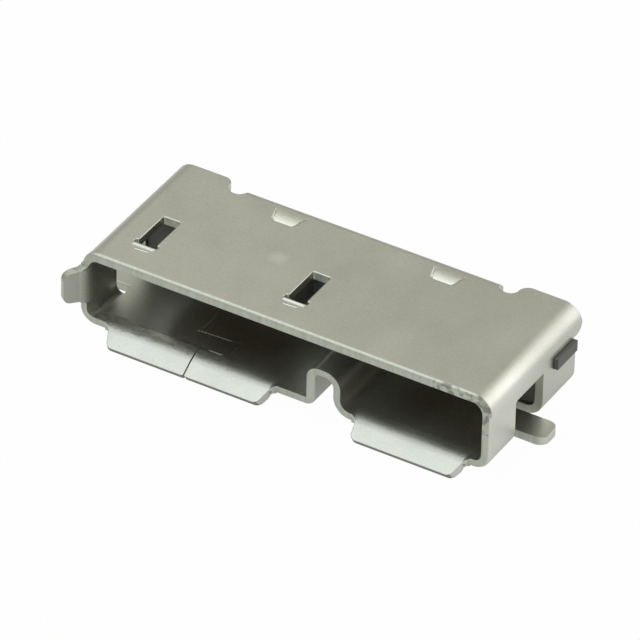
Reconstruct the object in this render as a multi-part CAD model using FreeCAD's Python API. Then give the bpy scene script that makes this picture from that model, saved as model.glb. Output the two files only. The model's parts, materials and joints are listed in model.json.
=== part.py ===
import FreeCAD, Part
import os
from math import cos, hypot, radians, sin, tan

# Board socket with a wide bay and a small bay, in millimetres.
# X runs along the mouth, Y from the mouth to the rear, Z up from the board.
# Below, x is measured from the outer face of the left wall and y from the mouth's front edge.
# The finished solids are moved so that the origin lies on the board, midway between the feet.

# Sheet metal of the shell, folded round the two bays
SHEET = 0.25
WIDE_BAY_WIDTH = 6.88
SMALL_BAY_WIDTH = 4.37
INNER_HEIGHT = 1.90
TOP_DEPTH = 4.87
TOP_LEFT_BEND = 0.27
TOP_RIGHT_BEND = 0.34
BOTTOM_BEND = 0.25

# Keying hump in the floor, between the two bays
HUMP_GAP = 0.55
HUMP_UNDERSIDE = 1.08
HUMP_FOOT_LEFT_BEND = 0.05
HUMP_TOP_LEFT_BEND = 0.10
HUMP_TOP_RIGHT_BEND = 0.25
HUMP_FOOT_RIGHT_BEND = 0.32

# Seam of the folded sheet, with its dovetail lock
SEAM_FROM_SIDE = 3.55
SEAM_REAR_FROM_SIDE = 3.15
SEAM_GAP = 0.03
DOVETAIL_START = 0.48
DOVETAIL_WIDTH = 0.60
DOVETAIL_LENGTH = 0.84
DOVETAIL_SPREAD = 0.06

# Flared lips at the mouth
LIP_START = 0.37
LIP_BEND = 0.65
LIP_FAN = 0.17
LIP_TIP_THICKNESS = 0.19
LIP_TAPER = 0.17
LIP_TIP_ROUND = 0.20
SEAM_TIP_ROUND = 0.08
FLOOR_LIP_ANGLE = 33.0
FLOOR_LIP_LENGTH = 0.46
WIDE_LIP_LEFT_MARGIN = 0.93
WIDE_LIP_RIGHT_MARGIN = 1.36
SMALL_LIP_LEFT_MARGIN = 0.79
SMALL_LIP_LEFT_TAPER = 0.06
SMALL_LIP_RIGHT_MARGIN = 0.75
SIDE_LIP_ANGLE = 38.0
SIDE_LIP_LENGTH = 0.48
SIDE_LIP_LOW = 0.77
SIDE_LIP_WIDTH = 1.02
SIDE_LIP_TAPER = 0.04
SIDE_LIP_TIP_ROUND = 0.22

# Mouth edge: the left wall's front corner leans out, and the outer edge is rolled over
CORNER_FLARE = 0.13
CORNER_FLARE_SPAN = 0.80
EDGE_ROLL = 0.10

# Latch windows in the top of the wide bay
LATCH_SPACING = 4.75
LATCH_SHIFT = 0.025
LATCH_EDGE = 1.21
WINDOW_WIDTH = 0.56
WINDOW_LENGTH = 1.29
WINDOW_ROUND = 0.08
WINDOW_ROLL = 0.03
RELIEF_WIDTH = 0.75
RELIEF_DEPTH = 0.13
RELIEF_OVERSHOOT = 0.02
RELIEF_ROUND = 0.035
RELIEF_FLARE = 0.055
LATCH_FLAP_WIDTH = 0.66
LATCH_FLAP_DROP = 0.42
LATCH_FLAP_BEND = 0.02
LATCH_CROWN_SETBACK = 0.19
LATCH_CROWN_ROUND = 0.07
LATCH_CROWN_HEIGHT = 0.03

# Retaining ramps pressed down near the rear of the top
RAMP_SPACING = 5.02
RAMP_SHIFT = 0.06
RAMP_SETBACK = 0.42
RAMP_LENGTH = 0.47
RAMP_REAR_WIDTH = 0.90
RAMP_FRONT_WIDTH = 0.60
RAMP_DROP = 0.09
RAMP_ROUND = 0.10
RAMP_ROLL_WIDTH = 0.06
RAMP_ROLL_DEPTH = 0.03

# Rear edge of the top: corner tabs, bend reliefs and the flap between them
CORNER_TAB_REACH = 0.13
CORNER_TAB_ROUND = 0.30
NOTCH_FROM_SIDE = 1.84
NOTCH_WIDTH = 0.56
NOTCH_DEPTH = 0.41
NOTCH_ROUND = 0.25
FLAP_BEND = 0.03
FLAP_LENGTH = 1.45

# Side walls: foot cut-out, boss slot and rear corners
CUTOUT_FRONT = 1.40
CUTOUT_TOP = 1.50
CUTOUT_FRONT_ROUND = 0.10
CUTOUT_REAR_ROUND = 0.05
FOOT_FRONT_GAP = 0.38
FOOT_REAR_GAP = 0.28
FOOT_WIDTH = 0.84
FOOT_REACH = 0.70
FOOT_ROUND = 0.30
REAR_RELIEF_REACH = 0.90
WALL_SETBACK = 0.22
SLOT_LENGTH = 1.22
SLOT_HEIGHT = 0.38
SLOT_DROP = 0.74
UPPER_WALL_ROUND = 0.34
LOWER_WALL_ROUND = 0.12

# Moulded housing
HOUSING_DEPTH = 1.60
HOUSING_CLEARANCE = 0.02
BOSS_STANDOUT = 0.13
BOSS_DEPTH = 1.07
BOSS_ROOT = 0.60
TONGUE_TIP = 1.20
TONGUE_DROP = 0.38
TONGUE_THICKNESS = 0.55
WIDE_TONGUE_MARGIN = 0.425
SMALL_TONGUE_MARGIN = 0.175
TONGUE_BEVEL = 0.12
TONGUE_ROUND = 0.15

# Contacts
CONTACTS_PER_BAY = 5
CONTACT_PITCH = 0.65
CONTACT_WIDTH = 0.25
CONTACT_THICKNESS = 0.12
CONTACT_PROUD = 0.03
CONTACT_SETBACK = 0.15
CONTACT_BEND = 0.06
CONTACT_COVER = 0.16
CONTACT_FLOOR_GAP = 0.35
CONTACT_SIDE_GAP = 0.11
TAIL_REACH = 0.33

# Worked-out places across the mouth
WIDE_BAY_MIDDLE = SHEET + WIDE_BAY_WIDTH / 2
HUMP_LEFT = 2 * SHEET + WIDE_BAY_WIDTH
HUMP_RIGHT = HUMP_LEFT + HUMP_GAP
SMALL_BAY_MIDDLE = HUMP_RIGHT + SHEET + SMALL_BAY_WIDTH / 2
SHELL_WIDTH = HUMP_RIGHT + 2 * SHEET + SMALL_BAY_WIDTH
LATCH_MIDDLE = WIDE_BAY_MIDDLE + LATCH_SHIFT
RAMP_MIDDLE = SHELL_WIDTH / 2 + RAMP_SHIFT
CONTACT_SPAN = (CONTACTS_PER_BAY - 1) * CONTACT_PITCH + CONTACT_WIDTH
WIDE_TONGUE_WIDTH = CONTACT_SPAN + 2 * WIDE_TONGUE_MARGIN
SMALL_TONGUE_WIDTH = CONTACT_SPAN + 2 * SMALL_TONGUE_MARGIN
FLOOR_MIDDLE_MARGIN = SHELL_WIDTH - SMALL_BAY_MIDDLE - CONTACT_SPAN / 2 - CONTACT_SIDE_GAP

# Worked-out levels
CEILING = SHEET + INNER_HEIGHT
SHELL_HEIGHT = CEILING + SHEET
SLOT_HIGH = SHELL_HEIGHT - SLOT_DROP
SLOT_LOW = SLOT_HIGH - SLOT_HEIGHT
TONGUE_HIGH = CEILING - TONGUE_DROP
TONGUE_LOW = TONGUE_HIGH - TONGUE_THICKNESS
SIDE_LIP_HIGH = SIDE_LIP_LOW + SIDE_LIP_WIDTH

# Worked-out depths
WINDOW_REAR = LATCH_EDGE + WINDOW_LENGTH
RELIEF_REAR = LATCH_EDGE + RELIEF_OVERSHOOT
RELIEF_FRONT = RELIEF_REAR - RELIEF_DEPTH
LATCH_FLAP_START = LATCH_EDGE - SHEET - LATCH_FLAP_BEND
FOOT_FRONT = CUTOUT_FRONT + FOOT_FRONT_GAP
FOOT_REAR = FOOT_FRONT + FOOT_WIDTH
FOOT_MIDDLE = (FOOT_FRONT + FOOT_REAR) / 2
CUTOUT_REAR = FOOT_REAR + FOOT_REAR_GAP
CORNER_DEPTH = TOP_DEPTH + CORNER_TAB_REACH
WALL_DEPTH = TOP_DEPTH - WALL_SETBACK
SLOT_FRONT = WALL_DEPTH - SLOT_LENGTH
NOTCH_FRONT = TOP_DEPTH - NOTCH_DEPTH
NOTCH_INNER = NOTCH_FROM_SIDE + NOTCH_WIDTH
RAMP_REAR = TOP_DEPTH - RAMP_SETBACK
RAMP_FRONT = RAMP_REAR - RAMP_LENGTH
FLAP_START = TOP_DEPTH - SHEET - FLAP_BEND
HOUSING_REAR = TOP_DEPTH - SHEET - HOUSING_CLEARANCE
HOUSING_FRONT = HOUSING_REAR - HOUSING_DEPTH
CONTACT_DROP = HOUSING_REAR - CONTACT_COVER - CONTACT_THICKNESS
FLOOR_MIDDLE_DEPTH = CONTACT_DROP - CONTACT_FLOOR_GAP

# Cutting tools run past the sheet by this much.
PAST = 1.0
# Lengths closer than this count as equal.
SAME = 1e-4


# Plane outlines with rounded corners

def unit(a, b):
    length = hypot(b[0] - a[0], b[1] - a[1])
    return (b[0] - a[0]) / length, (b[1] - a[1]) / length


def left_of(direction):
    return -direction[1], direction[0]


def turn_sign(before, after):
    return 1 if before[0] * after[1] - before[1] * after[0] > 0 else -1


def corner_directions(points, index, closed):
    """Directions of travel before and after a point. An open end repeats its only one."""
    count = len(points)
    before = after = None
    if closed or index > 0:
        before = unit(points[index - 1], points[index])
    if closed or index < count - 1:
        after = unit(points[index], points[(index + 1) % count])
    return before or after, after or before


def offset_outline(points, distance, closed):
    """The same outline moved to the left of its direction of travel."""
    moved = []
    for index, point in enumerate(points):
        before, after = corner_directions(points, index, closed)
        n1, n2 = left_of(before), left_of(after)
        stretch = distance / (1 + n1[0] * n2[0] + n1[1] * n2[1])
        moved.append((point[0] + (n1[0] + n2[0]) * stretch, point[1] + (n1[1] + n2[1]) * stretch))
    return moved


def rounded_face(points, radii, place):
    """A face bounded by a closed outline whose corners have the given radii."""
    edges = []
    first = last = None
    for index, (point, radius) in enumerate(zip(points, radii)):
        before, after = corner_directions(points, index, True)
        cosine = before[0] * after[0] + before[1] * after[1]
        if radius > 0 and cosine < 1 - SAME:
            half_turn_tangent = ((1 - cosine) / (1 + cosine)) ** 0.5
            reach = radius * half_turn_tangent
            inward = unit(before, after)
            sagitta = radius * ((1 + half_turn_tangent ** 2) ** 0.5 - 1)
            start = place(point[0] - before[0] * reach, point[1] - before[1] * reach)
            middle = place(point[0] + inward[0] * sagitta, point[1] + inward[1] * sagitta)
            end = place(point[0] + after[0] * reach, point[1] + after[1] * reach)
        else:
            start = end = place(*point)
            middle = None
        if last is None:
            first = start
        elif last.distanceToPoint(start) > SAME / 100:
            edges.append(Part.LineSegment(last, start).toShape())
        if middle is not None:
            edges.append(Part.Arc(start, middle, end).toShape())
        last = end
    if last.distanceToPoint(first) > SAME / 100:
        edges.append(Part.LineSegment(last, first).toShape())
    return Part.Face(Part.Wire(edges))


def across(x, z):
    """Mouth plane."""
    return FreeCAD.Vector(x, 0, z)


def along(y, z):
    """Plane from the mouth to the rear, upright."""
    return FreeCAD.Vector(0, y, z)


def flat(x, y):
    """Board plane."""
    return FreeCAD.Vector(x, y, 0)


def level_side(y, x):
    """Board plane, with the depth first."""
    return FreeCAD.Vector(x, y, 0)


def block(low, high):
    size = [b - a for a, b in zip(low, high)]
    return Part.makeBox(*size, FreeCAD.Vector(*low))


def upright(points, radii, z_low, z_high):
    """A prism that stands on a plan outline."""
    face = rounded_face(points, radii, flat)
    face.translate(FreeCAD.Vector(0, 0, z_low))
    return face.extrude(FreeCAD.Vector(0, 0, z_high - z_low))


def bent_face(surface, bend, thickness, side, place):
    """Section of a bent strip. The other surface lies to the given side of travel."""
    other = offset_outline(surface, side * thickness, False)
    near, far = [], []
    for index in range(len(surface)):
        before, after = corner_directions(surface, index, False)
        if index in (0, len(surface) - 1):
            near.append(0)
            far.append(0)
        elif turn_sign(before, after) == side:
            near.append(bend + thickness)
            far.append(bend)
        else:
            near.append(bend)
            far.append(bend + thickness)
    return rounded_face(surface + other[::-1], near + far[::-1], place)


# Shell

def shell_section(inset, flare=0):
    """Face bounded by the shell's outer outline, moved inwards. The flare leans the left wall out."""
    corners = [
        (0, SHELL_HEIGHT, TOP_LEFT_BEND),
        (-flare, 0, BOTTOM_BEND),
        (HUMP_LEFT, 0, HUMP_FOOT_LEFT_BEND),
        (HUMP_LEFT, HUMP_UNDERSIDE, HUMP_TOP_LEFT_BEND),
        (HUMP_RIGHT, HUMP_UNDERSIDE, HUMP_TOP_RIGHT_BEND),
        (HUMP_RIGHT, 0, HUMP_FOOT_RIGHT_BEND),
        (SHELL_WIDTH, 0, BOTTOM_BEND),
        (SHELL_WIDTH, SHELL_HEIGHT, TOP_RIGHT_BEND),
    ]
    points = [(x, z) for x, z, bend in corners]
    radii = []
    for index, (x, z, bend) in enumerate(corners):
        convex = turn_sign(*corner_directions(points, index, True)) > 0
        radii.append(bend + SHEET - inset if convex else bend + inset)
    return rounded_face(offset_outline(points, inset, True), radii, across)


def flared_front(inset):
    """Solid between the flared outline at the mouth and the plain outline behind it."""
    straight = shell_section(inset).OuterWire
    straight.translate(FreeCAD.Vector(0, LIP_START, 0))
    return Part.makeLoft([shell_section(inset, CORNER_FLARE).OuterWire, straight], True, True)


def folded_tube():
    """The sheet folded to its section. The left wall leans out at the mouth, whose upper edge is rolled."""
    depth = FreeCAD.Vector(0, CORNER_DEPTH, 0)
    tube = shell_section(0).extrude(depth).cut(shell_section(SHEET).extrude(depth))
    corner_space = block((-PAST, 0, -PAST), (CORNER_FLARE_SPAN, LIP_START, SHELL_HEIGHT + PAST))
    corner = flared_front(0).cut(flared_front(SHEET)).common(corner_space)
    tube = tube.cut(corner_space).fuse(corner).removeSplitter()
    mouth = min(tube.Faces, key=lambda face: face.BoundBox.YMax)
    upper = [edge for edge in mouth.OuterWire.Edges if edge.BoundBox.ZMin > BOTTOM_BEND + SHEET - SAME]
    return tube.makeFillet(EDGE_ROLL, upper)


def both_walls(y_low, y_high, z_low, z_high, reach):
    """Blocks through the left and the right wall, reaching inwards from their outer faces."""
    left = block((-PAST, y_low, z_low), (reach, y_high, z_high))
    right = block((SHELL_WIDTH - reach, y_low, z_low), (SHELL_WIDTH + PAST, y_high, z_high))
    return [left, right]


def mirrored_in_width(shape):
    return shape.mirror(FreeCAD.Vector(SHELL_WIDTH / 2, 0, 0), FreeCAD.Vector(1, 0, 0))


def corner_waste(y, z, radius, length, y_side, z_side):
    """What a round of the given radius takes off a corner that points along y_side and z_side."""
    core_y, core_z = y - y_side * radius, z - z_side * radius
    low = (0, min(y, core_y), min(z, core_z))
    high = (length, max(y, core_y), max(z, core_z))
    rod = Part.makeCylinder(radius, length, FreeCAD.Vector(0, core_y, core_z), FreeCAD.Vector(1, 0, 0))
    return block(low, high).cut(rod)


def notches():
    """Bend reliefs beside the rear flap. They also free the corner tabs."""
    left = upright(
        [(NOTCH_FROM_SIDE, NOTCH_FRONT), (NOTCH_INNER, NOTCH_FRONT),
         (NOTCH_INNER, CORNER_DEPTH), (NOTCH_INNER, CORNER_DEPTH + PAST),
         (-PAST, CORNER_DEPTH + PAST), (-PAST, CORNER_DEPTH), (NOTCH_FROM_SIDE, CORNER_DEPTH)],
        [NOTCH_ROUND, NOTCH_ROUND, 0, 0, 0, 0, CORNER_TAB_ROUND],
        -PAST, SHELL_HEIGHT + PAST)
    return [left, mirrored_in_width(left)]


def rear_cuts():
    """Everything that the stamped outline leaves away at the rear of the shell."""
    flap_side = NOTCH_INNER - NOTCH_ROUND
    cuts = both_walls(WALL_DEPTH, CORNER_DEPTH + PAST, -PAST, SLOT_HIGH, SHELL_WIDTH / 2)
    cuts += both_walls(SLOT_FRONT, CORNER_DEPTH + PAST, SLOT_LOW, SLOT_HIGH, SHEET + CORNER_TAB_ROUND)
    cuts.append(block((flap_side, FLAP_START, CEILING - PAST),
                      (SHELL_WIDTH - flap_side, CORNER_DEPTH + PAST, SHELL_HEIGHT + PAST)))
    cuts.append(block((FLOOR_MIDDLE_MARGIN, FLOOR_MIDDLE_DEPTH, -PAST),
                      (SHELL_WIDTH - FLOOR_MIDDLE_MARGIN, CORNER_DEPTH + PAST, SLOT_HIGH)))
    cuts.append(corner_waste(CORNER_DEPTH, SLOT_HIGH, UPPER_WALL_ROUND, SHELL_WIDTH, 1, -1))
    cuts.append(corner_waste(WALL_DEPTH, 0, LOWER_WALL_ROUND, SHELL_WIDTH, 1, -1))
    upper = block((-PAST, 0, SLOT_HIGH), (SHELL_WIDTH + PAST, CORNER_DEPTH + 2 * PAST, SHELL_HEIGHT + PAST))
    return cuts + [notch.common(upper) for notch in notches()]


def rear_flap():
    surface = [(FLAP_START, SHELL_HEIGHT), (TOP_DEPTH, SHELL_HEIGHT),
               (TOP_DEPTH, SHELL_HEIGHT - FLAP_LENGTH)]
    flap = bent_face(surface, FLAP_BEND, SHEET, -1, along)
    flap_side = NOTCH_INNER - NOTCH_ROUND
    flap.translate(FreeCAD.Vector(flap_side, 0, 0))
    return flap.extrude(FreeCAD.Vector(SHELL_WIDTH - 2 * flap_side, 0, 0)).cut(notches())


def foot_cutout():
    """Opening in the right wall. The sheet cut from it is the foot, laid out level with the floor."""
    corner = BOTTOM_BEND + SHEET
    face = rounded_face([(CUTOUT_FRONT, -PAST), (CUTOUT_REAR, -PAST),
                         (CUTOUT_REAR, CUTOUT_TOP), (CUTOUT_FRONT, CUTOUT_TOP)],
                        [0, 0, CUTOUT_REAR_ROUND, CUTOUT_FRONT_ROUND], along)
    face.translate(FreeCAD.Vector(SHELL_WIDTH - corner, 0, 0))
    opening = face.extrude(FreeCAD.Vector(corner + PAST, 0, 0))
    relief = block((SHELL_WIDTH - REAR_RELIEF_REACH, FOOT_REAR, -PAST),
                   (SHELL_WIDTH, CUTOUT_REAR, corner))
    return opening.fuse(relief)


def foot():
    root = SHELL_WIDTH - REAR_RELIEF_REACH
    tip = SHELL_WIDTH + FOOT_REACH
    points = [(root, FOOT_FRONT), (tip, FOOT_FRONT), (tip, FOOT_REAR), (root, FOOT_REAR)]
    return upright(points, [0, FOOT_ROUND, FOOT_ROUND, 0], 0, SHEET)


def latch_cut(middle):
    """Latch window, wider at its front end where it frees the turned-down flap."""
    half, wide = WINDOW_WIDTH / 2, RELIEF_WIDTH / 2
    points = [(middle - wide, RELIEF_FRONT), (middle + wide, RELIEF_FRONT),
              (middle + wide, RELIEF_REAR), (middle + half, RELIEF_REAR),
              (middle + half, WINDOW_REAR), (middle - half, WINDOW_REAR),
              (middle - half, RELIEF_REAR), (middle - wide, RELIEF_REAR)]
    radii = [RELIEF_ROUND, RELIEF_ROUND, RELIEF_ROUND, RELIEF_FLARE,
             WINDOW_ROUND, WINDOW_ROUND, RELIEF_FLARE, RELIEF_ROUND]
    half_flap, relief_middle = LATCH_FLAP_WIDTH / 2, (RELIEF_FRONT + RELIEF_REAR) / 2
    flap_space = block((middle - half_flap, LATCH_FLAP_START, CEILING - PAST),
                       (middle + half_flap, relief_middle, SHELL_HEIGHT + PAST))
    return upright(points, radii, CEILING - PAST, SHELL_HEIGHT + PAST).fuse(flap_space)


def latch_flap(middle):
    """The window's front edge, turned down for a latch to bear on. The fold's crown stands proud."""
    surface = [(LATCH_FLAP_START, SHELL_HEIGHT), (LATCH_EDGE, SHELL_HEIGHT),
               (LATCH_EDGE, SHELL_HEIGHT - LATCH_FLAP_DROP)]
    flap = bent_face(surface, LATCH_FLAP_BEND, SHEET, -1, along)
    start = middle - LATCH_FLAP_WIDTH / 2
    flap.translate(FreeCAD.Vector(start, 0, 0))
    flap = flap.extrude(FreeCAD.Vector(LATCH_FLAP_WIDTH, 0, 0))
    crown = FreeCAD.Vector(start, LATCH_EDGE - LATCH_CROWN_SETBACK,
                           SHELL_HEIGHT + LATCH_CROWN_HEIGHT - LATCH_CROWN_ROUND)
    ridge = Part.makeCylinder(LATCH_CROWN_ROUND, LATCH_FLAP_WIDTH, crown, FreeCAD.Vector(1, 0, 0))
    return flap.fuse(ridge)


def ramp_face(middle, room):
    """Plan of a ramp, with room added at its sides and in front of it."""
    half_rear, half_front = RAMP_REAR_WIDTH / 2 + room, RAMP_FRONT_WIDTH / 2 + room
    points = [(middle - half_front, RAMP_FRONT - room), (middle + half_front, RAMP_FRONT - room),
              (middle + half_rear, RAMP_REAR), (middle - half_rear, RAMP_REAR)]
    return rounded_face(points, [RAMP_ROUND + room, RAMP_ROUND + room, 0, 0], flat)


def ramp_outline(middle, z_low, z_high, clearance):
    rear, front = RAMP_REAR_WIDTH / 2 + clearance, RAMP_FRONT_WIDTH / 2 + clearance
    points = [(middle - front, RAMP_FRONT - clearance), (middle + front, RAMP_FRONT - clearance),
              (middle + rear, RAMP_REAR + clearance), (middle - rear, RAMP_REAR + clearance)]
    return upright(points, [RAMP_ROUND, RAMP_ROUND, 0, 0], z_low, z_high)


def ramp_cut(middle):
    """Opening round a ramp, with its top edge rolled over at the front and the sides."""
    low, high = ramp_face(middle, 0), ramp_face(middle, RAMP_ROLL_WIDTH)
    low.translate(FreeCAD.Vector(0, 0, SHELL_HEIGHT - RAMP_ROLL_DEPTH))
    high.translate(FreeCAD.Vector(0, 0, SHELL_HEIGHT))
    roll = Part.makeLoft([low.OuterWire, high.OuterWire], True, True)
    return ramp_outline(middle, CEILING - PAST, SHELL_HEIGHT + PAST, 0).fuse(roll)


def ramp_plate(middle):
    """Sheet that curves down from the level of the top, at its rear end, to its front end."""
    radius = (RAMP_LENGTH ** 2 + RAMP_DROP ** 2) / (2 * RAMP_DROP)
    rods = []
    for level in (SHELL_HEIGHT, CEILING):
        start = FreeCAD.Vector(middle - RAMP_REAR_WIDTH, RAMP_REAR, level - radius)
        rods.append(Part.makeCylinder(radius, 2 * RAMP_REAR_WIDTH, start, FreeCAD.Vector(1, 0, 0)))
    crescent = rods[0].cut(rods[1])
    return crescent.common(ramp_outline(middle, CEILING - PAST, SHELL_HEIGHT, 0))


def lip_surface(angle, length):
    """Inside surface of a flared lip as depth and level: its start, knee, end of the bend, and tip."""
    reach = (LIP_BEND + SHEET) * tan(radians(angle) / 2)
    slope = (-cos(radians(angle)), -sin(radians(angle)))
    knee = (LIP_START - reach, SHEET)
    bend_end = (knee[0] + slope[0] * reach, knee[1] + slope[1] * reach)
    tip = (bend_end[0] + slope[0] * length, bend_end[1] + slope[1] * length)
    return [(LIP_START, SHEET), knee, bend_end, tip]


def lip_section(angle, length, place):
    """Section of a lip. Past its bend the sheet is pressed thinner towards the tip."""
    surface = lip_surface(angle, length)
    other = offset_outline(surface, SHEET, False)
    share = LIP_TIP_THICKNESS / SHEET
    tip, under = surface[-1], other[-1]
    other[-1] = (tip[0] + (under[0] - tip[0]) * share, tip[1] + (under[1] - tip[1]) * share)
    radii = [0, LIP_BEND + SHEET, 0, 0] + [0, 0, LIP_BEND, 0]
    return rounded_face(surface + other[::-1], radii, place)


def lip_outline(low, high, surface, taper_low, taper_high):
    """Outline of a lip, as width and depth. Its sides taper from the bend on, and it runs past the tip."""
    bend_end, tip = surface[-2][0], surface[-1][0]
    past_tip = 2 * tip - bend_end
    return [(high, LIP_START), (high, bend_end), (high - 2 * taper_high, past_tip),
            (low + 2 * taper_low, past_tip), (low, bend_end), (low, LIP_START)]


def rounded_tip(lip, round_low, round_high):
    """The lip with both corners of its tip rounded, square to the sheet."""
    tip = lip.BoundBox.YMin
    corners = [edge for edge in lip.Edges if edge.BoundBox.YMin < tip + SAME < edge.BoundBox.YMax]
    corners.sort(key=lambda edge: edge.Length)
    low, high = sorted(corners[:2], key=lambda edge: edge.CenterOfMass.x + edge.CenterOfMass.z)
    if round_low == round_high:
        return lip.makeFillet(round_low, [low, high])
    lip = lip.makeFillet(round_low, [low])
    middle = high.CenterOfMass
    high = min(lip.Edges, key=lambda edge: edge.CenterOfMass.distanceToPoint(middle))
    return lip.makeFillet(round_high, [high])


def bent_root(turn, forward, place):
    """Section of sheet that bends through a turn and ends this far in front of the mouth."""
    inside = (LIP_START + forward) / sin(turn)

    def at(radius, share):
        return place(LIP_START - radius * sin(turn * share), SHEET - inside + radius * cos(turn * share))

    outside = inside - SHEET
    return Part.Wire([Part.Arc(at(inside, 0), at(inside, 0.5), at(inside, 1)).toShape(),
                      Part.LineSegment(at(inside, 1), at(outside, 1)).toShape(),
                      Part.Arc(at(outside, 1), at(outside, 0.5), at(outside, 0)).toShape(),
                      Part.LineSegment(at(outside, 0), at(inside, 0)).toShape()])


def lip_fan(angle, place, beside, root, lean):
    """Stretched sheet from the plain edge beside a lip, which may lean out, to the lip's bent root."""
    turn = radians(angle)
    forward = (LIP_BEND + SHEET) * sin(turn) - LIP_START
    corners = [place(LIP_START, SHEET), place(0, SHEET - lean), place(0, -lean), place(LIP_START, 0)]
    plain = Part.makePolygon(corners + corners[:1])
    halfway = bent_root(turn / 2, forward / 4, place)
    bend = bent_root(turn, forward, place)
    plain.translate(beside)
    halfway.translate((beside + root) / 2)
    bend.translate(root)
    return Part.makeLoft([plain, halfway, bend], True, True)


def floor_lip(x_low, x_high, taper_low, taper_high):
    """Lip of the floor. A side that doesn't taper lies along the seam and has no fan."""
    surface = lip_surface(FLOOR_LIP_ANGLE, FLOOR_LIP_LENGTH)
    strip = lip_section(FLOOR_LIP_ANGLE, FLOOR_LIP_LENGTH, along)
    strip.translate(FreeCAD.Vector(x_low - PAST, 0, 0))
    strip = strip.extrude(FreeCAD.Vector(x_high - x_low + 2 * PAST, 0, 0))
    outline = lip_outline(x_low, x_high, surface, taper_low, taper_high)
    lip = strip.common(upright(outline, [0] * len(outline), -PAST, PAST))
    lip = rounded_tip(lip, LIP_TIP_ROUND if taper_low else SEAM_TIP_ROUND,
                      LIP_TIP_ROUND if taper_high else SEAM_TIP_ROUND)
    for x, side, taper in ((x_low, -1, taper_low), (x_high, 1, taper_high)):
        if taper:
            beside, root = FreeCAD.Vector(x + side * LIP_FAN, 0, 0), FreeCAD.Vector(x, 0, 0)
            lip = lip.fuse(lip_fan(FLOOR_LIP_ANGLE, along, beside, root, 0))
    return lip


def floor_lip_room(x_low, x_high, taper_low, taper_high):
    """Floor that a lip and its fans stand in for."""
    low = x_low - LIP_FAN if taper_low else x_low
    high = x_high + LIP_FAN if taper_high else x_high
    return block((low, -PAST, -PAST), (high, LIP_START, PAST))


def side_lip():
    surface = lip_surface(SIDE_LIP_ANGLE, SIDE_LIP_LENGTH)
    strip = lip_section(SIDE_LIP_ANGLE, SIDE_LIP_LENGTH, level_side)
    strip = strip.extrude(FreeCAD.Vector(0, 0, SHELL_HEIGHT))
    outline = lip_outline(SIDE_LIP_LOW, SIDE_LIP_HIGH, surface, SIDE_LIP_TAPER, SIDE_LIP_TAPER)
    face = rounded_face([(y, z) for z, y in outline], [0] * len(outline), along)
    face.translate(FreeCAD.Vector(-PAST, 0, 0))
    lip = strip.common(face.extrude(FreeCAD.Vector(2 * PAST, 0, 0)))
    lip = rounded_tip(lip, SIDE_LIP_TIP_ROUND, SIDE_LIP_TIP_ROUND)
    for z, side in ((SIDE_LIP_LOW, -1), (SIDE_LIP_HIGH, 1)):
        beside = z + side * LIP_FAN
        lean = CORNER_FLARE * (1 - beside / SHELL_HEIGHT)
        lip = lip.fuse(lip_fan(SIDE_LIP_ANGLE, level_side, FreeCAD.Vector(0, 0, beside),
                               FreeCAD.Vector(0, 0, z), lean))
    return lip


def seam_cut():
    """Thin gap along the seam: straight, round the dovetail, then straight to the rear."""
    rear = DOVETAIL_START + DOVETAIL_WIDTH
    tip = SEAM_FROM_SIDE + DOVETAIL_LENGTH
    path = [(SEAM_FROM_SIDE, -PAST), (SEAM_FROM_SIDE, DOVETAIL_START),
            (tip, DOVETAIL_START - DOVETAIL_SPREAD), (tip, rear + DOVETAIL_SPREAD),
            (SEAM_REAR_FROM_SIDE, rear - DOVETAIL_SPREAD), (SEAM_REAR_FROM_SIDE, CORNER_DEPTH)]
    half = SEAM_GAP / 2
    points = offset_outline(path, half, False) + offset_outline(path, -half, False)[::-1]
    return upright(points, [0] * len(points), -PAST, 2 * SHEET)


def window_rims(shape, middles):
    """Top edges of the latch windows, where the sheet isn't turned down."""
    rims = []
    for edge in shape.Edges:
        box = edge.BoundBox
        if box.ZMin < SHELL_HEIGHT - SAME or box.YMin < RELIEF_FRONT - SAME or box.YMax > WINDOW_REAR + SAME:
            continue
        if any(abs((box.XMin + box.XMax) / 2 - middle) < RELIEF_WIDTH for middle in middles):
            rims.append(edge)
    return rims


def shell():
    latches = [LATCH_MIDDLE - LATCH_SPACING / 2, LATCH_MIDDLE + LATCH_SPACING / 2]
    ramps = [RAMP_MIDDLE - RAMP_SPACING / 2, RAMP_MIDDLE + RAMP_SPACING / 2]
    lip_spans = [(WIDE_LIP_LEFT_MARGIN, SEAM_FROM_SIDE, LIP_TAPER, 0),
                 (SEAM_FROM_SIDE, HUMP_LEFT - WIDE_LIP_RIGHT_MARGIN, 0, LIP_TAPER),
                 (HUMP_RIGHT + SMALL_LIP_LEFT_MARGIN, SHELL_WIDTH - SMALL_LIP_RIGHT_MARGIN,
                  SMALL_LIP_LEFT_TAPER, LIP_TAPER)]
    cuts = rear_cuts() + [foot_cutout(), mirrored_in_width(foot_cutout())]
    cuts += [latch_cut(middle) for middle in latches]
    cuts += [ramp_cut(middle) for middle in ramps]
    cuts += [floor_lip_room(*span) for span in lip_spans]
    cuts.append(block((-PAST, -PAST, SIDE_LIP_LOW - LIP_FAN), (PAST, LIP_START, SIDE_LIP_HIGH + LIP_FAN)))
    body = folded_tube().cut(cuts)
    body = body.makeFillet(WINDOW_ROLL, window_rims(body, latches))
    parts = [foot(), mirrored_in_width(foot()), rear_flap(), side_lip()]
    parts += [latch_flap(middle) for middle in latches]
    parts += [ramp_plate(middle) for middle in ramps]
    parts += [floor_lip(*span) for span in lip_spans]
    return body.fuse(parts).cut(seam_cut()).removeSplitter()


# Contacts

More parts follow.
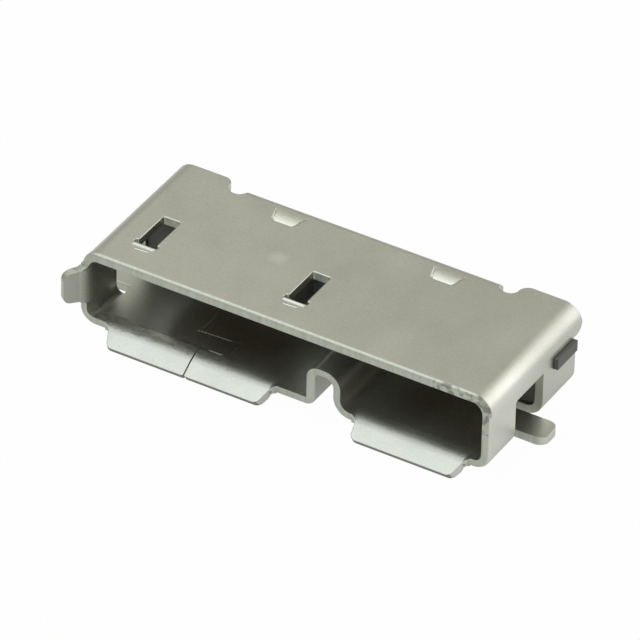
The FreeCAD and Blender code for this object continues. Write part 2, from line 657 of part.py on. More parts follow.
def contact_places():
    """Name and middle of each contact."""
    places = []
    for bay, middle in (("wide", WIDE_BAY_MIDDLE), ("small", SMALL_BAY_MIDDLE)):
        for index in range(CONTACTS_PER_BAY):
            shift = (index - (CONTACTS_PER_BAY - 1) / 2) * CONTACT_PITCH
            places.append(("contact_%s_%d" % (bay, index + 1), middle + shift))
    return places


def contact(middle):
    """Strip in the tongue's underside that drops behind the floor and ends in a tail on the board."""
    blade_low = TONGUE_LOW - CONTACT_PROUD
    surface = [(TONGUE_TIP + CONTACT_SETBACK, blade_low), (CONTACT_DROP, blade_low), (CONTACT_DROP, 0),
               (TOP_DEPTH + TAIL_REACH, 0)]
    strip = bent_face(surface, CONTACT_BEND, CONTACT_THICKNESS, 1, along)
    strip.translate(FreeCAD.Vector(middle - CONTACT_WIDTH / 2, 0, 0))
    return strip.extrude(FreeCAD.Vector(CONTACT_WIDTH, 0, 0))


# Housing

def tongue(middle, width):
    """Blade with a bevelled nose and rounded front corners."""
    nose = TONGUE_TIP + TONGUE_BEVEL
    profile = [(nose, TONGUE_LOW), (HOUSING_FRONT, TONGUE_LOW), (HOUSING_FRONT, TONGUE_HIGH),
               (nose, TONGUE_HIGH), (TONGUE_TIP, TONGUE_HIGH - TONGUE_BEVEL),
               (TONGUE_TIP, TONGUE_LOW + TONGUE_BEVEL)]
    face = rounded_face(profile, [0] * len(profile), along)
    face.translate(FreeCAD.Vector(middle - width / 2, 0, 0))
    points = [(middle - width / 2, TONGUE_TIP), (middle + width / 2, TONGUE_TIP),
              (middle + width / 2, HOUSING_FRONT), (middle - width / 2, HOUSING_FRONT)]
    outline = upright(points, [TONGUE_ROUND, TONGUE_ROUND, 0, 0], TONGUE_LOW, TONGUE_HIGH)
    return face.extrude(FreeCAD.Vector(width, 0, 0)).common(outline)


def housing(contacts):
    section = shell_section(SHEET + HOUSING_CLEARANCE)
    section.translate(FreeCAD.Vector(0, HOUSING_FRONT, 0))
    body = section.extrude(FreeCAD.Vector(0, HOUSING_REAR - HOUSING_FRONT, 0))
    boss_front = SLOT_FRONT + HOUSING_CLEARANCE
    boss = block((-BOSS_STANDOUT, boss_front, SLOT_LOW + HOUSING_CLEARANCE),
                 (BOSS_ROOT, boss_front + BOSS_DEPTH, SLOT_HIGH - HOUSING_CLEARANCE))
    body = body.fuse([boss, mirrored_in_width(boss), tongue(WIDE_BAY_MIDDLE, WIDE_TONGUE_WIDTH),
                      tongue(SMALL_BAY_MIDDLE, SMALL_TONGUE_WIDTH)])
    pockets = [ramp_outline(RAMP_MIDDLE + side * RAMP_SPACING / 2, CEILING - RAMP_DROP - HOUSING_CLEARANCE,
                            SHELL_HEIGHT, HOUSING_CLEARANCE) for side in (-1, 1)]
    flap_bend_room = corner_waste(HOUSING_REAR, CEILING - HOUSING_CLEARANCE, FLAP_BEND, SHELL_WIDTH, 1, 1)
    return body.cut(pockets + contacts + [flap_bend_room]).removeSplitter()


def main():
    os.makedirs("parts", exist_ok=True)
    pieces = {name: contact(middle) for name, middle in contact_places()}
    pieces["housing"] = housing(list(pieces.values()))
    pieces["shell"] = shell()
    for name, shape in pieces.items():
        shape.translate(FreeCAD.Vector(-SHELL_WIDTH / 2, -FOOT_MIDDLE, 0))
        solid = shape.Solids[0]
        print(name, len(shape.Solids), shape.isValid(), round(shape.Volume, 4))
        solid.exportStep("parts/%s.step" % name)


main()
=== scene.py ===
import json
from math import pi, radians

import bpy
from mathutils import Matrix, Vector


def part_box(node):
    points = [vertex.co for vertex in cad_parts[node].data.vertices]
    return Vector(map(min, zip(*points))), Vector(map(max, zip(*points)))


bl_info = {
    "name": "Two-bay board socket",
    "version": (1, 0, 0),
    "blender": (4, 5, 0),
    "location": "3D View > Sidebar > Socket",
    "description": "Finishes the shell, housing and contacts of a board socket, and sets up its studio",
    "category": "Object",
}

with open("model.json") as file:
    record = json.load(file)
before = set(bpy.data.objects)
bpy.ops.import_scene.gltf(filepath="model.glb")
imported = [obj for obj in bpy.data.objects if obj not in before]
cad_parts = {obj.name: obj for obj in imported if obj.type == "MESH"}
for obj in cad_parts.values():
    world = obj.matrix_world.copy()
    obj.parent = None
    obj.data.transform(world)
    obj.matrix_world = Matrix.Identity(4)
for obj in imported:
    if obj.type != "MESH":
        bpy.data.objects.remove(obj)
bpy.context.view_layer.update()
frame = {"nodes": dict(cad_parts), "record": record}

MM = 0.001
MOUNTS = {mount["name"]: Vector(mount["pos_m"]) for mount in frame["record"]["mounts"]}
MOUTH = MOUNTS["plug_mouth"].y
SHELL_LOW, SHELL_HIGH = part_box("shell")
HALF_HEIGHT = SHELL_HIGH.z / 2
FLOOR_FACE = 0.25 * MM
TOP_FACE = 2.40 * MM
CONTACT_NODES = sorted(name for name in frame["nodes"] if name.startswith("contact"))

# Zones of the shell and the contacts. Left and right are taken from the shell's left edge, and depths
# from its mouth. The corner's width is taken from its right edge, and the tails' length from its rear.
ROLL_DEPTH = 0.12 * MM
CORNER_WIDTH = 2.5 * MM
SIDE_LIP_RIGHT = 0.75 * MM
# Share of painted shade mixed into the side lip's colour, standing in for the shadow that the lip lies in.
SIDE_LIP_PAINTED_SHADE = 0.4
WIDE_LIPS_RIGHT = 5.5 * MM
LIP_ROOT_DEPTH = 0.45 * MM
LIP_ROOT_HEIGHT = 0.35 * MM
SEAM_LEFT = 3.0 * MM
SEAM_RIGHT = 5.4 * MM
SEAM_DEPTH = 0.3 * MM
SPOT_RIGHT = 5.4 * MM
SPOT_DEPTH = 2.53 * MM
TAIL_LENGTH = 0.6 * MM

# Room for rounding on either side of a face.
SLACK = 0.02 * MM

# Stage. The card is mixed with even white, by one share for the camera and another for reflections.
FLOOR_GAP = 0.01 * MM
FLOOR_WIDTH = 2.0
CAMERA_WHITE = 0.98
MIRROR_WHITE = 0.3
ROOM_STRENGTH = 0.65
SENSOR_WIDTH_MM = 36.0

# Straight marks on the shell: left end, depth, turn in degrees and length, with lengths in millimetres.
# Their relief is in heights of the sheet's grain.
FLOOR_MARKS = ((3.78, 1.045, 3.6, 1.04), (4.51, 0.43, 1.3, 0.44))
FLOOR_MARK_RELIEF = 5.0
FLAP_MARKS = ((1.87, 0.835, 3.9, 0.42), (6.57, 0.83, 3.9, 0.42))
FLAP_MARK_RELIEF = 3.0
MARK_FADE = 0.035 * MM
MARK_ROUGHNESS = 0.9

# Limits on one part of a normal, which runs from -1 to 1. ANY is past them, and past the socket in metres.
SQUARE_TO_MOUTH = -0.9
TURNED_TO_MOUTH = -0.15
TURNED_UP = 0.05
FACES_DOWN = -0.3
FACES_UP = 0.3
ANY = 2.0

# Positions of the Mix node's sockets, whose names are shared by floats, vectors and colours.
FLOAT_A, FLOAT_B, VECTOR_A, VECTOR_B, COLOUR_A, COLOUR_B = range(2, 8)
MIXED_FLOAT, MIXED_VECTOR, MIXED_COLOUR = range(3)


def linear(hex_colour):
    """sRGB hex value as linear red, green, blue and alpha."""
    channels = []
    for start in (0, 2, 4):
        value = int(hex_colour[start:start + 2], 16) / 255
        channels.append(value / 12.92 if value <= 0.04045 else ((value + 0.055) / 1.055) ** 2.4)
    return (*channels, 1.0)


def per_metre(size_mm):
    """Noise scale that gives features of this size in millimetres."""
    return 1 / (size_mm * MM)


def add(tree, kind, inputs=None, **settings):
    """Adds a node with its settings. An input is either a plain value or the socket that feeds it."""
    node = tree.nodes.new(kind)
    for name, value in settings.items():
        setattr(node, name, value)
    for name, value in (inputs or {}).items():
        if isinstance(value, bpy.types.NodeSocket):
            tree.links.new(value, node.inputs[name])
        else:
            node.inputs[name].default_value = value
    return node


def new_material(name):
    """An empty node material with its output node."""
    material = bpy.data.materials.new(name)
    material.use_nodes = True
    material.node_tree.nodes.clear()
    return material, material.node_tree, add(material.node_tree, "ShaderNodeOutputMaterial")


def give(node_name, material):
    """Puts the material on every slot of a CAD node."""
    piece = frame["nodes"][node_name]
    piece.data.materials.clear()
    piece.data.materials.append(material)


class ShellFinish(bpy.types.PropertyGroup):
    light: bpy.props.FloatVectorProperty(
        name="Light plating", description="Colour of the brighter spots of the plated sheet",
        subtype="COLOR", size=4, min=0, max=1, default=linear("DDDED7"))
    dark: bpy.props.FloatVectorProperty(
        name="Dark plating", description="Colour of the duller spots of the plated sheet",
        subtype="COLOR", size=4, min=0, max=1, default=linear("D6D7CF"))
    cut_light: bpy.props.FloatVectorProperty(
        name="Light cut", description="Colour of the bright streaks on sheared edges",
        subtype="COLOR", size=4, min=0, max=1, default=linear("E6EAE0"))
    cut_dark: bpy.props.FloatVectorProperty(
        name="Dark cut", description="Colour of the dull streaks on sheared edges",
        subtype="COLOR", size=4, min=0, max=1, default=linear("B9BDB3"))
    # Colour of burred, folded and scuffed places, and also of the painted shade on the side lip.
    burr_and_painted_shade: bpy.props.FloatVectorProperty(
        name="Burr", description="Colour of burred, folded and scuffed places, and mixed into the side lip",
        subtype="COLOR", size=4, min=0, max=1, default=linear("9A9B92"))
    # Colour of the pressed spot on the top, and of the painted light on the side walls near the mouth.
    pressed_and_painted_light: bpy.props.FloatVectorProperty(
        name="Pressed plating", description="Colour of the places that are pressed smooth",
        subtype="COLOR", size=4, min=0, max=1, default=linear("F8F8F2"))
    roughness: bpy.props.FloatProperty(
        name="Roughness", description="Roughness of the plated sheet", min=0, max=1,
        subtype="FACTOR", default=0.37)
    cut_roughness: bpy.props.FloatProperty(
        name="Cut roughness", description="Roughness of sheared edges", min=0, max=1,
        subtype="FACTOR", default=0.5)
    grain: bpy.props.FloatProperty(
        name="Grain size", description="Size of the plating's mottled grain, in millimetres",
        min=0.02, max=1, default=0.055)
    edge_roll: bpy.props.FloatProperty(
        name="Edge roll", description="Radius of the die's roll-over on every edge, in millimetres",
        min=0, max=0.2, default=0.035)


class HousingFinish(bpy.types.PropertyGroup):
    colour: bpy.props.FloatVectorProperty(
        name="Colour", description="Colour of the moulded plastic",
        subtype="COLOR", size=4, min=0, max=1, default=linear("535352"))
    bleached: bpy.props.FloatVectorProperty(
        name="Bleached colour", description="Colour where the filler shows at the surface",
        subtype="COLOR", size=4, min=0, max=1, default=linear("71716D"))
    roughness: bpy.props.FloatProperty(
        name="Roughness", description="Roughness of the moulded plastic", min=0, max=1,
        subtype="FACTOR", default=0.42)


class ContactFinish(bpy.types.PropertyGroup):
    gold: bpy.props.FloatVectorProperty(
        name="Gold", description="Colour of the gold flash on the contacts",
        subtype="COLOR", size=4, min=0, max=1, default=linear("E3BE6E"))
    tin: bpy.props.FloatVectorProperty(
        name="Tin", description="Colour of the tinned tails",
        subtype="COLOR", size=4, min=0, max=1, default=linear("C9C9C4"))


class Studio(bpy.types.PropertyGroup):
    target: bpy.props.FloatVectorProperty(
        name="Camera target", description="Point that the camera looks at", size=3,
        subtype="TRANSLATION", unit="LENGTH", default=(-0.188 * MM, 0.0454 * MM, 1.0776 * MM))
    azimuth: bpy.props.FloatProperty(
        name="Camera azimuth", description="Turn of the camera round the socket",
        subtype="ANGLE", unit="ROTATION", default=radians(29.8217))
    elevation: bpy.props.FloatProperty(
        name="Camera elevation", description="Height of the camera over the board plane",
        subtype="ANGLE", unit="ROTATION", default=radians(36.5020))
    roll: bpy.props.FloatProperty(
        name="Camera roll", description="Tilt of the camera about its line of sight",
        subtype="ANGLE", unit="ROTATION", default=radians(1.4934))
    distance: bpy.props.FloatProperty(
        name="Camera distance", description="Distance from the camera to its target",
        subtype="DISTANCE", unit="LENGTH", default=224.195 * MM)
    lens: bpy.props.FloatProperty(
        name="Focal length", description="Focal length on a sensor 36 mm wide",
        unit="CAMERA", default=465.08)


def within(tree, *limits):
    """Mask that is 1 where each value lies between its two limits, and 0 elsewhere."""
    mask = 1.0
    for value, least, most in limits:
        between = add(tree, "ShaderNodeMath", {0: value, 1: (least + most) / 2, 2: (most - least) / 2},
                      operation="COMPARE")
        mask = add(tree, "ShaderNodeMath", {0: mask, 1: between.outputs[0]},
                   operation="MULTIPLY").outputs[0]
    return mask


def joined(tree, *masks):
    """Mask of all these masks together, as strong as the strongest of them."""
    whole = 0.0
    for mask in masks:
        whole = add(tree, "ShaderNodeMath", {0: whole, 1: mask}, operation="MAXIMUM").outputs[0]
    return whole


def cut_faces(tree, place, facing):
    """Mask of the cut faces that look out of the mouth, and of the roll-over above them."""
    square = within(tree, (facing["Y"], -ANY, SQUARE_TO_MOUTH))
    rolled = within(tree, (facing["Y"], -ANY, TURNED_TO_MOUTH), (facing["Z"], TURNED_UP, ANY),
                    (place["Y"], -ANY, MOUTH + ROLL_DEPTH), (place["Z"], HALF_HEIGHT, ANY))
    return joined(tree, square, rolled)


def bent_corner(tree, place):
    """Mask of the mouth's upper right corner, where the cut edge is wrinkled."""
    return within(tree, (place["X"], SHELL_HIGH.x - CORNER_WIDTH, ANY),
                  (place["Y"], -ANY, MOUTH + ROLL_DEPTH), (place["Z"], HALF_HEIGHT, ANY))


def burred_tip(tree, place, facing):
    """Mask of the burred undersides of the lips' tips."""
    return within(tree, (place["Y"], -ANY, MOUTH - SLACK / 2), (facing["Z"], -ANY, FACES_DOWN))


def shaded_side_lip(tree, place):
    """Mask of painted shade on the lip on the left wall, standing in for the shadow that it lies in."""
    lip = within(tree, (place["X"], -ANY, SHELL_LOW.x + SIDE_LIP_RIGHT), (place["Y"], -ANY, MOUTH))
    return add(tree, "ShaderNodeMath", {0: lip, 1: SIDE_LIP_PAINTED_SHADE}, operation="MULTIPLY").outputs[0]


def scuffs(tree, place, axes, facing):
    """Mask of the dull specks on the bend that the wide bay's lips spring from."""
    root = within(tree, (axes["X"], -ANY, SHELL_LOW.x + WIDE_LIPS_RIGHT),
                  (axes["Y"], MOUTH - SLACK, MOUTH + LIP_ROOT_DEPTH),
                  (axes["Z"], -ANY, LIP_ROOT_HEIGHT), (facing["Z"], FACES_UP, ANY))
    stretched = add(tree, "ShaderNodeMapping", {
        "Vector": place.outputs["Object"], "Scale": (0.45, 1.0, 1.0)})
    noise = add(tree, "ShaderNodeTexNoise", {
        "Vector": stretched.outputs["Vector"], "Scale": per_metre(0.11), "Detail": 3.0})
    specks = add(tree, "ShaderNodeMapRange", {
        "Value": noise.outputs["Fac"], "From Min": 0.5, "From Max": 0.66, "To Max": 0.6})
    return add(tree, "ShaderNodeMath", {0: specks.outputs["Result"], 1: root},
               operation="MULTIPLY").outputs[0]


def walls_painted_light(tree, place, facing):
    """Soft mask of painted light on the side walls' outer faces, strongest near the mouth and fading towards
    the rear.
    """
    outwards = add(tree, "ShaderNodeMath", {0: place["X"], 1: facing["X"]}, operation="MULTIPLY")
    outer = add(tree, "ShaderNodeMapRange", {
        "Value": outwards.outputs[0], "From Min": 2.5 * MM, "From Max": 5.5 * MM, "To Max": 0.7})
    forwards = add(tree, "ShaderNodeMapRange", {
        "Value": place["Y"], "From Min": MOUTH + 3.0 * MM, "From Max": MOUTH + 1.2 * MM})
    return add(tree, "ShaderNodeMath", {0: outer.outputs["Result"], 1: forwards.outputs["Result"]},
               operation="MULTIPLY").outputs[0]


def pressed_spot(tree, place):
    """Soft mask of the round spot on the top that is pressed smooth and brighter."""
    middle = (SHELL_LOW.x + SPOT_RIGHT, MOUTH + SPOT_DEPTH, SHELL_HIGH.z)
    distance = add(tree, "ShaderNodeVectorMath", {0: place.outputs["Object"], 1: middle},
                   operation="DISTANCE")
    return add(tree, "ShaderNodeMapRange", {
        "Value": distance.outputs["Value"], "From Min": 0.12 * MM, "From Max": 0.36 * MM,
        "To Min": 0.5, "To Max": 0.0}).outputs["Result"]


def marks(tree, place, rows, level):
    """Soft mask of straight marks on a level face. They are drawn as wide as they need to show."""
    masks = []
    for across, depth, turn, length in rows:
        turned = add(tree, "ShaderNodeMapping", {
            "Vector": place.outputs["Object"], "Rotation": (0.0, 0.0, radians(turn)),
            "Location": (SHELL_LOW.x + across * MM, MOUTH + depth * MM, level)}, vector_type="TEXTURE")
        line = add(tree, "ShaderNodeSeparateXYZ", {0: turned.outputs["Vector"]}).outputs
        stretch = within(tree, (line["X"], 0.0, length * MM), (line["Z"], -SLACK, SLACK))
        aside = add(tree, "ShaderNodeMath", {0: line["Y"]}, operation="ABSOLUTE")
        faded = add(tree, "ShaderNodeMapRange", {
            "Value": aside.outputs[0], "From Max": MARK_FADE, "To Min": 1.0, "To Max": 0.0})
        masks.append(add(tree, "ShaderNodeMath", {0: stretch, 1: faded.outputs["Result"]},
                         operation="MULTIPLY").outputs[0])
    return joined(tree, *masks)


def seam_area(tree, place):
    """Mask of the dovetail in the wide bay's floor, where the edges meet too tightly to show a roll-over."""
    return within(tree, (place["X"], SHELL_LOW.x + SEAM_LEFT, SHELL_LOW.x + SEAM_RIGHT),
                  (place["Y"], MOUTH + SEAM_DEPTH, ANY), (place["Z"], -ANY, FLOOR_FACE + SLACK))


def flat_colour(tree, place, axes, facing, grain, finish):
    """Colour of the sheet's faces: a mottled grain, brighter at the pressed spot on the top, and with
    painted light on the side walls near the mouth.
    """
    spots = add(tree, "ShaderNodeMapRange", {
        "Value": grain.outputs["Fac"], "From Min": 0.35, "From Max": 0.65})
    mottled = add(tree, "ShaderNodeMix", {
        "Factor": spots.outputs["Result"], COLOUR_A: finish.dark, COLOUR_B: finish.light},
        data_type="RGBA")
    # The pressed spot on the top, and painted light on the side walls.
    pressed_and_painted_light = joined(tree, pressed_spot(tree, place), walls_painted_light(tree, axes, facing))
    sheet = add(tree, "ShaderNodeMix", {
        "Factor": pressed_and_painted_light, COLOUR_A: mottled.outputs[MIXED_COLOUR], COLOUR_B: finish.pressed_and_painted_light},
        data_type="RGBA")
    return sheet.outputs[MIXED_COLOUR]


def cut_colour(tree, place, axes, finish):
    """Colour of the cut faces: streaks that run with the shear, and dull folds at the bent corner."""
    streak_place = add(tree, "ShaderNodeMapping", {
        "Vector": place.outputs["Object"], "Scale": (1.0, 1.0, 0.15)})
    streaks = add(tree, "ShaderNodeTexNoise", {
        "Vector": streak_place.outputs["Vector"], "Scale": per_metre(0.12), "Detail": 4.0})
    cut = add(tree, "ShaderNodeMix", {
        "Factor": streaks.outputs["Fac"], COLOUR_A: finish.cut_dark, COLOUR_B: finish.cut_light},
        data_type="RGBA")
    noise = add(tree, "ShaderNodeTexNoise", {
        "Vector": place.outputs["Object"], "Scale": per_metre(0.22), "Detail": 2.0})
    folds = add(tree, "ShaderNodeMapRange", {
        "Value": noise.outputs["Fac"], "From Min": 0.47, "From Max": 0.58, "To Max": 0.9})
    wrinkled = add(tree, "ShaderNodeMath", {0: folds.outputs["Result"], 1: bent_corner(tree, axes)},
                   operation="MULTIPLY")
    marked = add(tree, "ShaderNodeMix", {
        "Factor": wrinkled.outputs[0], COLOUR_A: cut.outputs[MIXED_COLOUR], COLOUR_B: finish.burr_and_painted_shade},
        data_type="RGBA")
    return marked.outputs[MIXED_COLOUR]


def sheet_roughness(tree, place, cut, scratched, finish):
    """Roughness of the sheet: a little uneven, duller on cut faces and dullest in a scratch."""
    cloud = add(tree, "ShaderNodeTexNoise", {
        "Vector": place.outputs["Object"], "Scale": per_metre(1.6), "Detail": 2.0})
    plain = add(tree, "ShaderNodeMapRange", {
        "Value": cloud.outputs["Fac"], "From Min": 0.3, "From Max": 0.7,
        "To Min": finish.roughness - 0.03, "To Max": finish.roughness + 0.05})
    cut_or_plain = add(tree, "ShaderNodeMix", {
        "Factor": cut, FLOAT_A: plain.outputs["Result"], FLOAT_B: finish.cut_roughness})
    return add(tree, "ShaderNodeMix", {
        "Factor": scratched, FLOAT_A: cut_or_plain.outputs[MIXED_FLOAT],
        FLOAT_B: MARK_ROUGHNESS}).outputs[MIXED_FLOAT]


def sheet_normal(tree, place, axes, grain, scratched, finish):
    """Normal of the sheet: edges rolled over by the die, with the grain and the straight marks in relief."""
    rolled_edge = add(tree, "ShaderNodeBevel", {"Radius": finish.edge_roll * MM}, samples=8)
    plain = add(tree, "ShaderNodeNewGeometry")
    surface = add(tree, "ShaderNodeMix", {
        "Factor": seam_area(tree, axes), VECTOR_A: rolled_edge.outputs["Normal"],
        VECTOR_B: plain.outputs["Normal"]}, data_type="VECTOR")
    dented = add(tree, "ShaderNodeMath", {
        0: marks(tree, place, FLAP_MARKS, TOP_FACE), 1: FLAP_MARK_RELIEF, 2: grain.outputs["Fac"]},
        operation="MULTIPLY_ADD")
    height = add(tree, "ShaderNodeMath", {0: scratched, 1: FLOOR_MARK_RELIEF, 2: dented.outputs[0]},
                 operation="MULTIPLY_ADD")
    return add(tree, "ShaderNodeBump", {
        "Height": height.outputs[0], "Strength": 0.6, "Distance": 0.0065 * MM,
        "Normal": surface.outputs[MIXED_VECTOR]}).outputs["Normal"]


def plated_sheet(finish):
    """Tin-plated cold-rolled steel, stamped: satin, with a soft mottled grain and duller sheared edges.

    The real grain is too fine to show, so it is drawn coarser.
    """
    material, tree, output = new_material("tin_plated_steel_sheet")
    place = add(tree, "ShaderNodeTexCoord")
    axes = add(tree, "ShaderNodeSeparateXYZ", {0: place.outputs["Object"]}).outputs
    facing = add(tree, "ShaderNodeSeparateXYZ", {0: place.outputs["Normal"]}).outputs
    grain = add(tree, "ShaderNodeTexNoise", {
        "Vector": place.outputs["Object"], "Scale": per_metre(finish.grain), "Detail": 3.0})
    cut = cut_faces(tree, axes, facing)
    clean = add(tree, "ShaderNodeMix", {
        "Factor": cut, COLOUR_A: flat_colour(tree, place, axes, facing, grain, finish),
        COLOUR_B: cut_colour(tree, place, axes, finish)}, data_type="RGBA")
    # Burred tips and scuffs, together with the painted shade on the side lip, are mixed towards the burr
    # colour.
    dulled_and_shaded = joined(tree, burred_tip(tree, axes, facing), shaded_side_lip(tree, axes),
                    scuffs(tree, place, axes, facing))
    colour = add(tree, "ShaderNodeMix", {
        "Factor": dulled_and_shaded, COLOUR_A: clean.outputs[MIXED_COLOUR], COLOUR_B: finish.burr_and_painted_shade},
        data_type="RGBA")
    scratched = marks(tree, place, FLOOR_MARKS, FLOOR_FACE)
    shader = add(tree, "ShaderNodeBsdfPrincipled", {
        "Base Color": colour.outputs[MIXED_COLOUR], "Metallic": 1.0,
        "Roughness": sheet_roughness(tree, place, cut, scratched, finish),
        "Normal": sheet_normal(tree, place, axes, grain, scratched, finish)})
    tree.links.new(shader.outputs["BSDF"], output.inputs["Surface"])
    return material


def moulded_plastic(finish):
    """Glass-filled liquid crystal polymer, moulded: dark and matt, with faint pale flow marks."""
    material, tree, output = new_material("glass_filled_polymer")
    place = add(tree, "ShaderNodeTexCoord")
    flow = add(tree, "ShaderNodeTexNoise", {
        "Vector": place.outputs["Object"], "Scale": per_metre(0.35), "Detail": 4.0, "Distortion": 0.6})
    fibres = add(tree, "ShaderNodeTexNoise", {
        "Vector": place.outputs["Object"], "Scale": per_metre(0.05), "Detail": 2.0})
    colour = add(tree, "ShaderNodeMix", {
        "Factor": flow.outputs["Fac"], COLOUR_A: finish.colour, COLOUR_B: finish.bleached},
        data_type="RGBA")
    bump = add(tree, "ShaderNodeBump", {
        "Height": fibres.outputs["Fac"], "Strength": 0.3, "Distance": 0.003 * MM})
    shader = add(tree, "ShaderNodeBsdfPrincipled", {
        "Base Color": colour.outputs[MIXED_COLOUR], "Roughness": finish.roughness,
        "Normal": bump.outputs["Normal"]})
    tree.links.new(shader.outputs["BSDF"], output.inputs["Surface"])
    return material


def gold_flash(finish):
    """Gold flash over nickel on a copper alloy strip: smooth and warm, tinned at the solder tail."""
    material, tree, output = new_material("gold_flashed_strip")
    place = add(tree, "ShaderNodeTexCoord")
    y = add(tree, "ShaderNodeSeparateXYZ", {0: place.outputs["Object"]}).outputs["Y"]
    tail = add(tree, "ShaderNodeMath", {0: y, 1: SHELL_HIGH.y - TAIL_LENGTH}, operation="GREATER_THAN")
    colour = add(tree, "ShaderNodeMix", {
        "Factor": tail.outputs[0], COLOUR_A: finish.gold, COLOUR_B: finish.tin}, data_type="RGBA")
    rolled = add(tree, "ShaderNodeTexNoise", {
        "Vector": place.outputs["Object"], "Scale": per_metre(0.08), "Detail": 2.0})
    roughness = add(tree, "ShaderNodeMapRange", {
        "Value": rolled.outputs["Fac"], "To Min": 0.18, "To Max": 0.32})
    shader = add(tree, "ShaderNodeBsdfPrincipled", {
        "Base Color": colour.outputs[MIXED_COLOUR], "Metallic": 1.0,
        "Roughness": roughness.outputs["Result"]})
    tree.links.new(shader.outputs["BSDF"], output.inputs["Surface"])
    return material


class SOCKET_OT_finish_shell(bpy.types.Operator):
    """Give the folded shell its plated finish"""
    bl_idname = "socket.finish_shell"
    bl_label = "Finish Shell"

    def execute(self, context):
        give("shell", plated_sheet(context.scene.socket_shell))
        return {"FINISHED"}


class SOCKET_OT_finish_housing(bpy.types.Operator):
    """Give the housing its moulded finish"""
    bl_idname = "socket.finish_housing"
    bl_label = "Finish Housing"

    def execute(self, context):
        give("housing", moulded_plastic(context.scene.socket_housing))
        return {"FINISHED"}


class SOCKET_OT_finish_contacts(bpy.types.Operator):
    """Give every contact its gold flash and tinned tail"""
    bl_idname = "socket.finish_contacts"
    bl_label = "Finish Contacts"

    def execute(self, context):
        if not CONTACT_NODES:
            raise RuntimeError("The packed socket has no contacts")
        material = gold_flash(context.scene.socket_contacts)
        for name in CONTACT_NODES:
            give(name, material)
        return {"FINISHED"}


def floor_material():
    """White card. The camera sees it nearly evenly white, and the socket's shadow still shows on it."""
    material, tree, output = new_material("white_card")
    card = add(tree, "ShaderNodeBsdfDiffuse", {"Color": linear("DEDEDC")})
    white = add(tree, "ShaderNodeEmission", {"Color": (1, 1, 1, 1), "Strength": 1.0})
    path = add(tree, "ShaderNodeLightPath")
    mirrored = add(tree, "ShaderNodeMath", {0: path.outputs["Is Glossy Ray"], 1: MIRROR_WHITE},
                   operation="MULTIPLY")
    seen = add(tree, "ShaderNodeMath", {
        0: path.outputs["Is Camera Ray"], 1: CAMERA_WHITE, 2: mirrored.outputs[0]},
        operation="MULTIPLY_ADD")
    mix = add(tree, "ShaderNodeMixShader", {0: seen.outputs[0], 1: card.outputs[0], 2: white.outputs[0]})
    tree.links.new(mix.outputs[0], output.inputs["Surface"])
    return material


def add_floor():
    """White card that the socket's feet stand just clear of."""
    bpy.ops.mesh.primitive_plane_add(size=FLOOR_WIDTH, location=(0, 0, SHELL_LOW.z - FLOOR_GAP))
    floor = bpy.context.object
    floor.name = "floor"
    floor.data.materials.append(floor_material())


def add_softbox(name, azimuth, elevation, distance, width, height, radiance, colour):
    """Rectangular softbox that faces the socket. A mirror would show it at this radiance."""
    lamp = bpy.data.lights.new(name, "AREA")
    lamp.shape = "RECTANGLE"
    lamp.size, lamp.size_y = width, height
    lamp.energy = radiance * pi * width * height
    lamp.color = linear(colour)[:3]
    softbox = bpy.data.objects.new(name, lamp)
    turn = Matrix.Rotation(radians(azimuth), 4, "Z") @ Matrix.Rotation(radians(90 - elevation), 4, "X")
    softbox.matrix_world = turn @ Matrix.Translation((0, 0, distance))
    bpy.context.scene.collection.objects.link(softbox)


def set_world(scene):
    """Even grey surroundings that light the metal, seen as white by the camera."""
    world = bpy.data.worlds.new("studio")
    world.use_nodes = True
    tree = world.node_tree
    tree.nodes.clear()
    output = add(tree, "ShaderNodeOutputWorld")
    room = add(tree, "ShaderNodeBackground", {"Color": linear("CBCABB"), "Strength": ROOM_STRENGTH})
    white = add(tree, "ShaderNodeBackground", {"Color": (1, 1, 1, 1), "Strength": 1.0})
    path = add(tree, "ShaderNodeLightPath")
    mix = add(tree, "ShaderNodeMixShader", {
        0: path.outputs["Is Camera Ray"], 1: room.outputs[0], 2: white.outputs[0]})
    tree.links.new(mix.outputs[0], output.inputs["Surface"])
    scene.world = world


def add_camera(scene, studio):
    """Camera that looks at its target from the studio's azimuth and elevation."""
    camera = bpy.data.cameras.new("camera")
    camera.lens = studio.lens
    camera.sensor_width = SENSOR_WIDTH_MM
    camera.clip_start = 1 * MM
    camera.clip_end = 10.0
    seat = bpy.data.objects.new("camera", camera)
    turn = (Matrix.Rotation(studio.azimuth, 4, "Z") @ Matrix.Rotation(pi / 2 - studio.elevation, 4, "X")
            @ Matrix.Rotation(studio.roll, 4, "Z"))
    seat.matrix_world = (Matrix.Translation(studio.target) @ turn
                         @ Matrix.Translation((0, 0, studio.distance)))
    scene.collection.objects.link(seat)
    scene.camera = seat


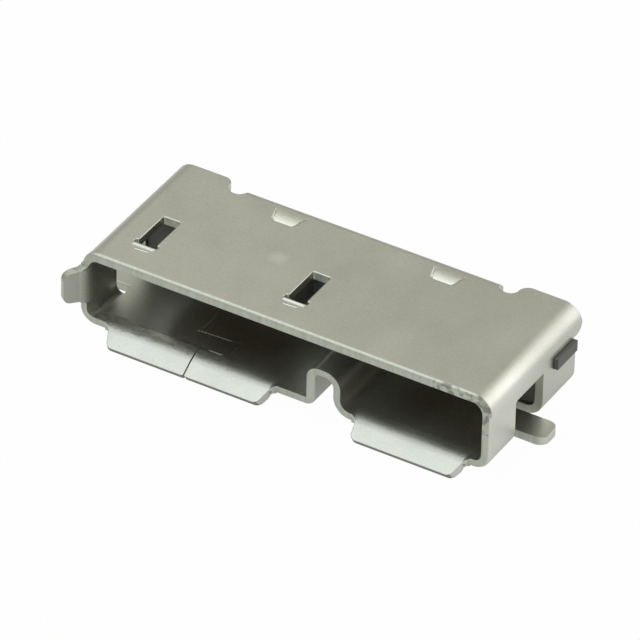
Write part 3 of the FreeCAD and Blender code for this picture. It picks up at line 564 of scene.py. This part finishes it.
class SOCKET_OT_set_stage(bpy.types.Operator):
    """Set up the floor, the soft lights and the camera"""
    bl_idname = "socket.set_stage"
    bl_label = "Set Stage"

    def execute(self, context):
        scene = context.scene
        scene.view_settings.view_transform = "Standard"
        add_floor()
        set_world(scene)
        add_softbox("overhead_softbox", azimuth=-40, elevation=70, distance=0.12,
                    width=0.15, height=0.15, radiance=0.92, colour="EDF7FF")
        add_softbox("rear_right_softbox", azimuth=148, elevation=22, distance=0.12,
                    width=0.13, height=0.09, radiance=1.02, colour="FFFFFF")
        add_softbox("rear_left_softbox", azimuth=240, elevation=56, distance=0.12,
                    width=0.07, height=0.07, radiance=0.64, colour="FFFFFA")
        add_camera(scene, scene.socket_studio)
        return {"FINISHED"}


class SOCKET_PT_tools(bpy.types.Panel):
    """Lists the steps that finish the socket"""
    bl_idname = "SOCKET_PT_tools"
    bl_label = "Board Socket"
    bl_space_type = "VIEW_3D"
    bl_region_type = "UI"
    bl_category = "Socket"

    def draw(self, context):
        for step in STEPS:
            self.layout.operator(step.bl_idname)


STEPS = (SOCKET_OT_finish_shell, SOCKET_OT_finish_housing, SOCKET_OT_finish_contacts, SOCKET_OT_set_stage)
SETTINGS = {"socket_shell": ShellFinish, "socket_housing": HousingFinish,
            "socket_contacts": ContactFinish, "socket_studio": Studio}


def register():
    for group in SETTINGS.values():
        bpy.utils.register_class(group)
    for step in STEPS:
        bpy.utils.register_class(step)
    bpy.utils.register_class(SOCKET_PT_tools)
    for name, group in SETTINGS.items():
        setattr(bpy.types.Scene, name, bpy.props.PointerProperty(type=group))


def unregister():
    for name in SETTINGS:
        delattr(bpy.types.Scene, name)
    bpy.utils.unregister_class(SOCKET_PT_tools)
    for step in reversed(STEPS):
        bpy.utils.unregister_class(step)
    for group in reversed(SETTINGS.values()):
        bpy.utils.unregister_class(group)


def main():
    register()
    bpy.ops.socket.finish_shell()
    bpy.ops.socket.finish_housing()
    bpy.ops.socket.finish_contacts()
    bpy.ops.socket.set_stage()


if __name__ == "__main__":
    main()
